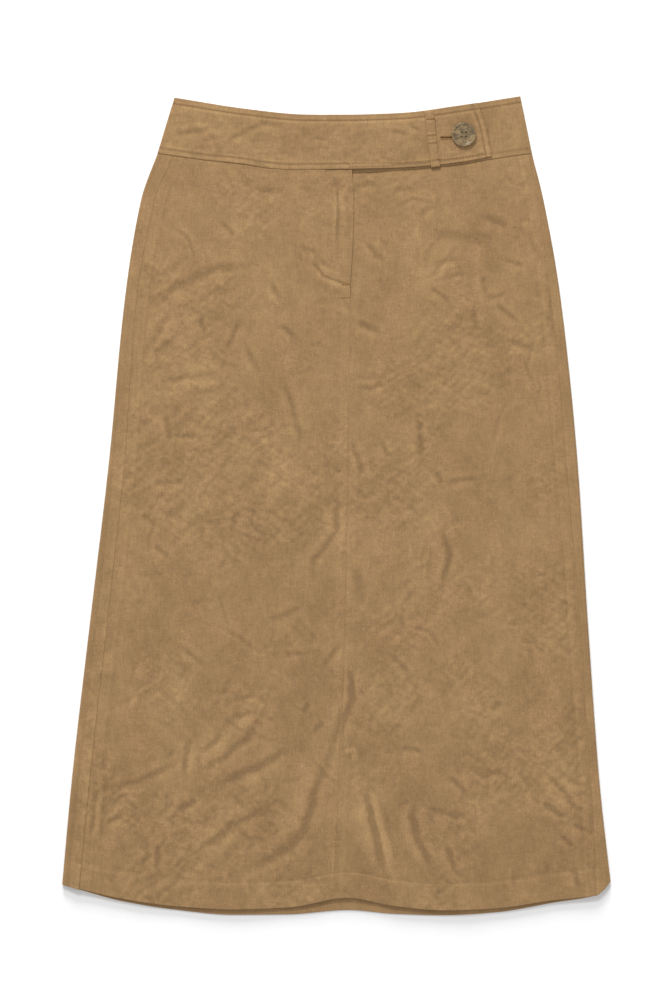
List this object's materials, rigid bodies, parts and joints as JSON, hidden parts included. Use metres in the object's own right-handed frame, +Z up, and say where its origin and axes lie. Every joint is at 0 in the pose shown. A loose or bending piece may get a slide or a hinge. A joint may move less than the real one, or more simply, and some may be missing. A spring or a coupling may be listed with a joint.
{
  "type": "a-line midi skirt with tab waistband",
  "caption": "A-line midi skirt in brushed cotton, laid flat: fly front, wide waistband ending in an overlapping tab held by a carrier loop and a button.",
  "frame": {"origin": "middle of the outline, on the surface that the skirt lies on", "axes": "+X across the skirt to the wearer's left, +Y from the hem to the waist, +Z up from the surface, out of the front"},
  "size_m": [0.5698, 0.8508, 0.0103],
  "materials": {
    "cloth": "brushed cotton twill, camel brown",
    "button": "horn-look, polished rim",
    "zip": "woven tape with a nylon coil",
    "thread": "topstitching thread"
  },
  "bodies": {
    "root": {"back_panel": "cloth", "front_right_panel": "cloth", "front_left_panel": "cloth", "waistband_back": "cloth", "waistband_left_front": "cloth", "waistband_right_front_tab": "cloth", "tab_carrier": "cloth", "button": "button", "fly_zip": "zip"}
  },
  "joints": []
}
